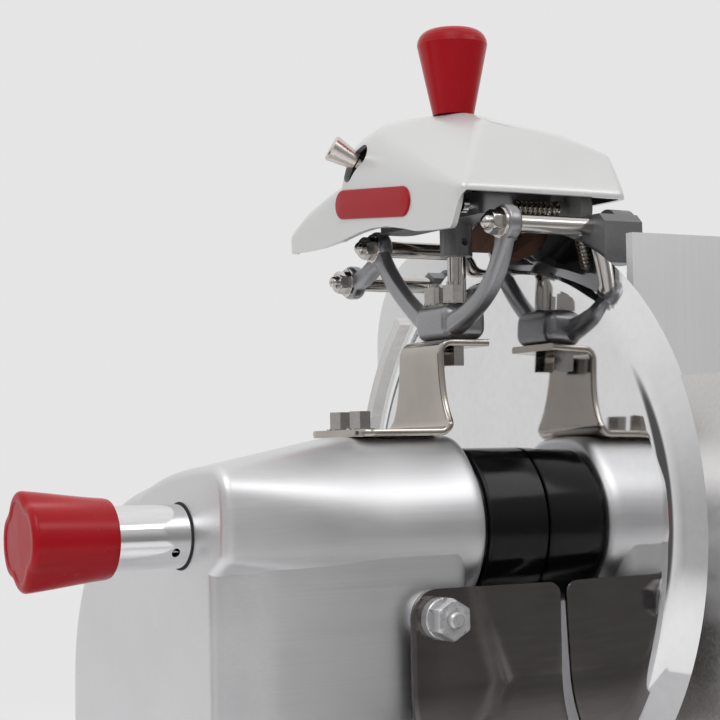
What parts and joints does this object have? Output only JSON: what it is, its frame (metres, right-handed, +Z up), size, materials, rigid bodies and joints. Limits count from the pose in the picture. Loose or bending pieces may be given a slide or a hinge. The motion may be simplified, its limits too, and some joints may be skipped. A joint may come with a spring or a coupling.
{
  "type": "electric food slicer",
  "caption": "Vertical electric food slicer with a mirror-polished circular blade, built-in sharpener, sliding carriage, product press and slice-thickness gauge",
  "frame": {"origin": "on the bench, under the middle of the whole machine", "axes": "+Z up; +X along the blade axis from the side knob to the product side; +Y away from the user"},
  "size_m": [0.509, 0.4926, 0.5194],
  "materials": {
    "cast_aluminium": "satin anodised casting",
    "grey_casting": "plain satin casting",
    "dark_casting": "dark cast finish",
    "cover_enamel": "smooth pearl satin",
    "mirror_steel": "mirror polished",
    "stainless_steel": "brushed",
    "nickel_plate": "polished nickel plate",
    "chrome": "bright chrome",
    "turned_steel": "turned",
    "red_plastic": "glossy deep red",
    "green_plastic": "glossy green",
    "black_gloss": "glossy black",
    "black_plastic": "fine grained black",
    "black_rubber": "matt rubber",
    "motor_paint": "plain paint",
    "brown_stone": "abrasive grain",
    "grey_stone": "abrasive grain",
    "spring_wire": "yellow passivated wire"
  },
  "bodies": {
    "frame": {"base_casting": "cast_aluminium", "bottom_plate": "stainless_steel", "rubber_feet": "black_rubber", "bottom_screws": "turned_steel", "head_casting": "cast_aluminium", "hub_collar": "black_gloss", "shaft_bearings": "turned_steel", "motor": "motor_paint", "motor_bracket": "dark_casting", "drive_belt": "black_rubber", "cable_gland": "black_plastic", "control_panel": "black_plastic", "ring_guard": "cast_aluminium", "deflector_plate": "stainless_steel", "deflector_clamp": "cast_aluminium", "deflector_nut": "chrome", "blade_cover": "stainless_steel", "sharpener_bracket": "nickel_plate", "hex_bolts": "chrome", "sharpener_fork": "grey_casting", "guide_rods": "chrome", "dome_nuts": "chrome", "sharpener_post": "chrome", "post_boss": "dark_casting", "cover_carrier": "grey_casting", "sharpener_bridge": "dark_casting", "sharpener_cover": "cover_enamel", "cover_badge": "red_plastic", "return_spring": "spring_wire", "carriage_rail": "turned_steel", "gauge_guide_rod": "turned_steel", "knob_sleeve": "chrome"},
    "blade_unit": {"blade": "mirror_steel", "blade_hub": "turned_steel", "blade_screws": "turned_steel", "blade_shaft": "turned_steel", "driven_pulley": "turned_steel"},
    "motor_rotor": {"motor_shaft": "turned_steel", "motor_pulley": "turned_steel"},
    "tie_unit": {"blade_knob": "red_plastic", "tie_rod": "chrome"},
    "cover_knob": {"sharpener_knob": "red_plastic"},
    "lever": {"lever_knob": "chrome"},
    "grind_slider": {"grind_spindle": "chrome"},
    "grind_wheel": {"grind_stone": "brown_stone"},
    "deburr_slider": {"deburr_spindle": "chrome"},
    "deburr_wheel": {"deburr_stone": "grey_stone"},
    "carriage": {"carriage_table": "cast_aluminium", "carriage_wall": "cast_aluminium", "carriage_leg": "dark_casting", "carriage_handle": "black_plastic", "press_rod": "chrome"},
    "press": {"press_plate": "stainless_steel", "press_sleeve": "cast_aluminium"},
    "gauge": {"gauge_plate": "stainless_steel", "gauge_arm": "dark_casting"},
    "thickness": {"lead_screw": "turned_steel", "thickness_knob": "black_plastic"},
    "start": {"start_button": "green_plastic"},
    "stop": {"stop_button": "red_plastic"}
  },
  "joints": [
    {"name": "blade_spin", "type": "hinge", "parent": "frame", "child": "blade_unit", "pos_m": [0.0045, 0.05425, 0.265], "axis": [1, 0, 0], "continuous": true},
    {"name": "motor_spin", "type": "hinge", "parent": "frame", "child": "motor_rotor", "pos_m": [-0.0955, 0.11425, 0.181], "axis": [1, 0, 0], "continuous": true},
    {"name": "tie_rod_turn", "type": "hinge", "parent": "frame", "child": "tie_unit", "pos_m": [-0.1955, 0.05425, 0.265], "axis": [1, 0, 0], "continuous": true},
    {"name": "cover_knob_turn", "type": "hinge", "parent": "frame", "child": "cover_knob", "pos_m": [-0.02, 0.05425, 0.485], "axis": [0, 0, 1], "continuous": true},
    {"name": "stone_lever_swing", "type": "hinge", "parent": "frame", "child": "lever", "pos_m": [-0.0405, 0.08025, 0.423], "axis": [1, 0, 0], "range_deg": [-10, 10], "stiffness_Nm_per_rad": 1.5},
    {"name": "grind_slide", "type": "slide", "parent": "frame", "child": "grind_slider", "axis": [1, 0, 0], "range_m": [-0.0012, 0.0012]},
    {"name": "grind_spin", "type": "hinge", "parent": "grind_slider", "child": "grind_wheel", "pos_m": [0.0045, 0.06825, 0.423], "axis": [1, 0, 0], "continuous": true},
    {"name": "deburr_slide", "type": "slide", "parent": "frame", "child": "deburr_slider", "axis": [1, 0, 0], "range_m": [-0.0012, 0.0012], "deforming": ["return_spring"]},
    {"name": "deburr_spin", "type": "hinge", "parent": "deburr_slider", "child": "deburr_wheel", "pos_m": [0.0225, 0.01425, 0.422], "axis": [1, 0, 0], "continuous": true},
    {"name": "carriage_slide", "type": "slide", "parent": "frame", "child": "carriage", "axis": [0, 1, 0], "range_m": [-0.27, 0]},
    {"name": "press_slide", "type": "slide", "parent": "carriage", "child": "press", "axis": [1, 0, 0], "range_m": [0, 0.125]},
    {"name": "thickness_turn", "type": "hinge", "parent": "frame", "child": "thickness", "pos_m": [-0.1955, -0.17575, 0.058], "axis": [1, 0, 0], "range_deg": [-324, 0]},
    {"name": "gauge_slide", "type": "slide", "parent": "frame", "child": "gauge", "axis": [1, 0, 0], "range_m": [-0.014, 0]},
    {"name": "start_press", "type": "slide", "parent": "frame", "child": "start", "axis": [0, 1, 0], "range_m": [0, 0.004], "stiffness_N_per_m": 400},
    {"name": "stop_press", "type": "slide", "parent": "frame", "child": "stop", "axis": [0, 1, 0], "range_m": [0, 0.004], "stiffness_N_per_m": 400}
  ],
  "couplings": [
    {"joint": "motor_spin", "follows": "blade_spin", "ratio": 1.5556},
    {"joint": "grind_slide", "follows": "stone_lever_swing", "m_per_rad": 0.0068748},
    {"joint": "deburr_slide", "follows": "stone_lever_swing", "m_per_rad": 0.0068748},
    {"joint": "thickness_turn", "follows": "gauge_slide", "rad_per_m": 403.88}
  ]
}
